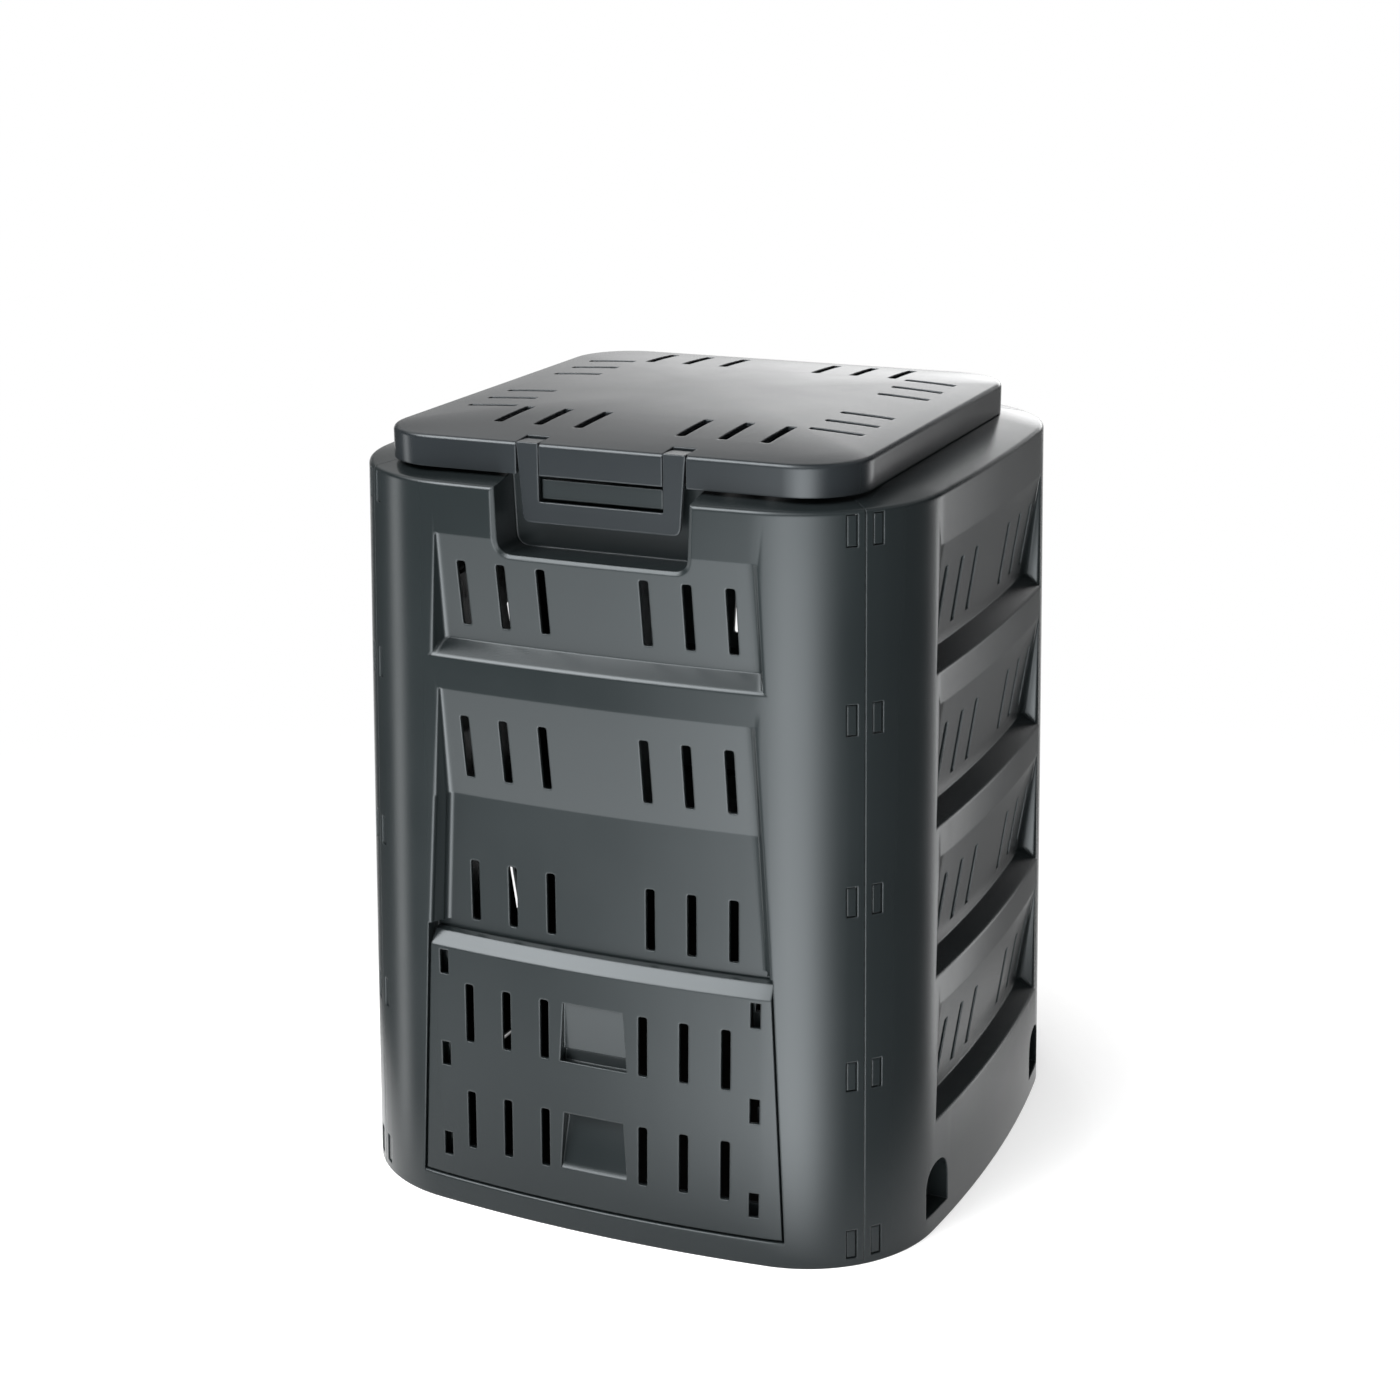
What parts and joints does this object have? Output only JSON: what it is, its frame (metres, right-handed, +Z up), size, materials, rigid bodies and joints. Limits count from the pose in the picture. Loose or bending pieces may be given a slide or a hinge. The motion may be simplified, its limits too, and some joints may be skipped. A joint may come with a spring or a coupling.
{
  "type": "compost bin with lid",
  "caption": "Square tapered garden compost bin with louvred slotted walls, a hinged lid with a swing latch and a lift-out emptying door.",
  "frame": {"origin": "on the ground under the middle of the bin", "axes": "+Z up, -Y out of the front, where the emptying door and the lid's latch are, +X to the right as seen from the front"},
  "size_m": [0.665, 0.665, 0.828],
  "materials": {
    "moulded_plastic": "satin anthracite injection-moulded polypropylene",
    "lid_plastic": "satin anthracite injection-moulded polypropylene, finer grain on the lid and latch",
    "clip_plastic": "satin anthracite polypropylene",
    "steel_pin": "drawn steel rod"
  },
  "bodies": {
    "bin": {"front_wall": "moulded_plastic", "right_wall": "moulded_plastic", "rear_wall": "moulded_plastic", "left_wall": "moulded_plastic", "corner_clip_front_right_1": "clip_plastic", "corner_clip_rear_right_1": "clip_plastic", "corner_clip_rear_left_1": "clip_plastic", "corner_clip_front_left_1": "clip_plastic", "corner_clip_front_right_2": "clip_plastic", "corner_clip_rear_right_2": "clip_plastic", "corner_clip_rear_left_2": "clip_plastic", "corner_clip_front_left_2": "clip_plastic", "corner_clip_front_right_3": "clip_plastic", "corner_clip_rear_right_3": "clip_plastic", "corner_clip_rear_left_3": "clip_plastic", "corner_clip_front_left_3": "clip_plastic", "corner_clip_front_right_4": "clip_plastic", "corner_clip_rear_right_4": "clip_plastic", "corner_clip_rear_left_4": "clip_plastic", "corner_clip_front_left_4": "clip_plastic", "corner_clip_front_right_5": "clip_plastic", "corner_clip_rear_right_5": "clip_plastic", "corner_clip_rear_left_5": "clip_plastic", "corner_clip_front_left_5": "clip_plastic", "hinge_pin_left": "steel_pin", "hinge_pin_right": "steel_pin"},
    "lid": {"lid": "lid_plastic", "latch_pin_left": "steel_pin", "latch_pin_right": "steel_pin"},
    "latch": {"lid_latch": "lid_plastic"},
    "door": {"emptying_door": "moulded_plastic"}
  },
  "joints": [
    {"name": "lid_hinge", "type": "hinge", "parent": "bin", "child": "lid", "pos_m": [0, 0.264, 0.796], "axis": [-1, 0, 0], "range_deg": [0, 100]},
    {"name": "latch_swing", "type": "hinge", "parent": "lid", "child": "latch", "pos_m": [0, -0.268, 0.812], "axis": [-1, 0, 0], "range_deg": [0, 90]},
    {"name": "door_lift", "type": "slide", "parent": "bin", "child": "door", "axis": [0, 0, 1], "range_m": [0, 0.007]}
  ]
}
